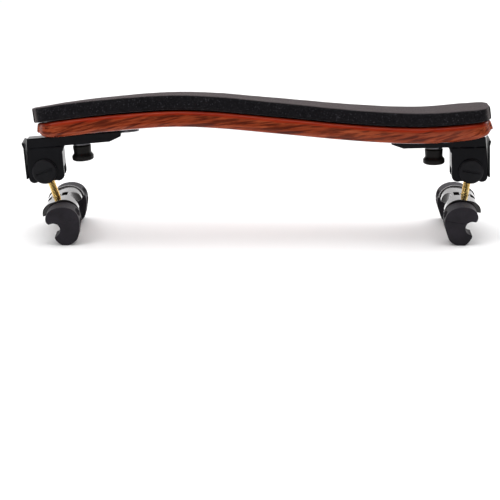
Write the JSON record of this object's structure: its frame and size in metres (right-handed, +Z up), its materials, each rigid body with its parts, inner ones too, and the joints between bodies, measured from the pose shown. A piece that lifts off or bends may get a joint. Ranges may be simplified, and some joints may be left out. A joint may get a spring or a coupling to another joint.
{
  "type": "violin shoulder rest",
  "caption": "Shoulder rest for a violin: S-curved varnished wooden bar with a foam pad, on folding, height-adjustable legs that end in forked rubber claws.",
  "frame": {"origin": "under the middle of the whole rest, on the surface that its claws stand on", "axes": "+X along the bar, from its left end to its right end as seen from the front, +Y from front to back, +Z up from the claws to the pad"},
  "size_m": [0.219, 0.0548, 0.0671],
  "materials": {
    "varnished_wood": "gloss",
    "foam": "matte",
    "black_plastic": "satin",
    "glossy_plastic": "gloss",
    "black_rubber": "matte",
    "brass": "polished",
    "steel": "satin"
  },
  "bodies": {
    "bar": {"wood_bar": "varnished_wood", "foam_pad": "foam", "left_guide_plate": "steel", "left_plate_screw_inner": "steel", "left_plate_screw_outer": "steel", "left_threaded_insert": "brass", "right_guide_plate": "steel", "right_plate_screw_inner": "steel", "right_plate_screw_outer": "steel", "right_threaded_insert": "brass"},
    "left_arm": {"left_bracket": "black_plastic"},
    "left_flap": {"left_end_flap": "black_plastic"},
    "left_clamp": {"left_clamp_washer": "steel"},
    "left_thumbscrew": {"left_thumbscrew_knob": "black_plastic", "left_thumbscrew_stud": "brass"},
    "left_pivot": {"left_pivot_barrel": "black_plastic", "left_pivot_cap_front": "black_plastic", "left_pivot_cap_rear": "black_plastic"},
    "left_leg": {"left_leg_screw": "brass"},
    "left_foot": {"left_fork": "glossy_plastic", "left_fork_bush": "brass", "left_claw_front": "black_rubber", "left_claw_rear": "black_rubber"},
    "right_arm": {"right_bracket": "black_plastic"},
    "right_flap": {"right_end_flap": "black_plastic"},
    "right_clamp": {"right_clamp_washer": "steel"},
    "right_thumbscrew": {"right_thumbscrew_knob": "black_plastic", "right_thumbscrew_stud": "brass"},
    "right_pivot": {"right_pivot_barrel": "black_plastic", "right_pivot_cap_front": "black_plastic", "right_pivot_cap_rear": "black_plastic"},
    "right_leg": {"right_leg_screw": "brass"},
    "right_foot": {"right_fork": "glossy_plastic", "right_fork_bush": "brass", "right_claw_front": "black_rubber", "right_claw_rear": "black_rubber"}
  },
  "joints": [
    {"name": "left_width_slide", "type": "slide", "parent": "bar", "child": "left_arm", "axis": [-0.9965, 0, -0.0837], "range_m": [-0.0028, 0.006]},
    {"name": "left_clamp_travel", "type": "slide", "parent": "bar", "child": "left_clamp", "axis": [0.0837, 0, -0.9965], "range_m": [0, 0.0007]},
    {"name": "left_thumbscrew_turn", "type": "hinge", "parent": "left_clamp", "child": "left_thumbscrew", "pos_m": [-0.08148, 0, 0.03788], "axis": [0.0837, 0, -0.9965], "range_deg": [0, 360]},
    {"name": "left_leg_fold", "type": "hinge", "parent": "left_arm", "child": "left_pivot", "pos_m": [-0.09881, 0, 0.0304], "axis": [0, -1, 0], "range_deg": [-24.6, 45.4]},
    {"name": "left_leg_height", "type": "slide", "parent": "left_pivot", "child": "left_leg", "axis": [0.3322, 0, -0.9432], "range_m": [-0.0007, 0.0035]},
    {"name": "left_fork_turn", "type": "hinge", "parent": "left_leg", "child": "left_foot", "pos_m": [-0.09309, 0, 0.01415], "axis": [0.3322, 0, -0.9432], "range_deg": [-360, 1800]},
    {"name": "left_end_flap_press", "type": "hinge", "parent": "left_arm", "child": "left_flap", "pos_m": [-0.10711, 0, 0.02709], "axis": [0, 1, 0], "range_deg": [0, 2.5], "stiffness_Nm_per_rad": 0.4},
    {"name": "right_width_slide", "type": "slide", "parent": "bar", "child": "right_arm", "axis": [0.9997, 0, 0.0262], "range_m": [-0.0016, 0.007]},
    {"name": "right_clamp_travel", "type": "slide", "parent": "bar", "child": "right_clamp", "axis": [0.0262, 0, -0.9997], "range_m": [0, 0.0007]},
    {"name": "right_thumbscrew_turn", "type": "hinge", "parent": "right_clamp", "child": "right_thumbscrew", "pos_m": [0.08334, 0, 0.03616], "axis": [0.0262, 0, -0.9997], "range_deg": [0, 360]},
    {"name": "right_leg_fold", "type": "hinge", "parent": "right_arm", "child": "right_pivot", "pos_m": [0.10029, 0, 0.0306], "axis": [0, 1, 0], "range_deg": [-20.5, 49.5]},
    {"name": "right_leg_height", "type": "slide", "parent": "right_pivot", "child": "right_leg", "axis": [-0.1564, 0, -0.9877], "range_m": [-0.0007, 0.0035]},
    {"name": "right_fork_turn", "type": "hinge", "parent": "right_leg", "child": "right_foot", "pos_m": [0.0978, 0, 0.01489], "axis": [-0.1564, 0, -0.9877], "range_deg": [-360, 1800]},
    {"name": "right_end_flap_press", "type": "hinge", "parent": "right_arm", "child": "right_flap", "pos_m": [0.10891, 0, 0.02823], "axis": [0, -1, 0], "range_deg": [0, 2.5], "stiffness_Nm_per_rad": 0.4}
  ],
  "couplings": [
    {"joint": "left_thumbscrew_turn", "follows": "left_clamp_travel", "rad_per_m": 8976},
    {"joint": "left_leg_height", "follows": "left_fork_turn", "m_per_rad": 0.00011141},
    {"joint": "right_thumbscrew_turn", "follows": "right_clamp_travel", "rad_per_m": 8976},
    {"joint": "right_leg_height", "follows": "right_fork_turn", "m_per_rad": 0.00011141}
  ]
}
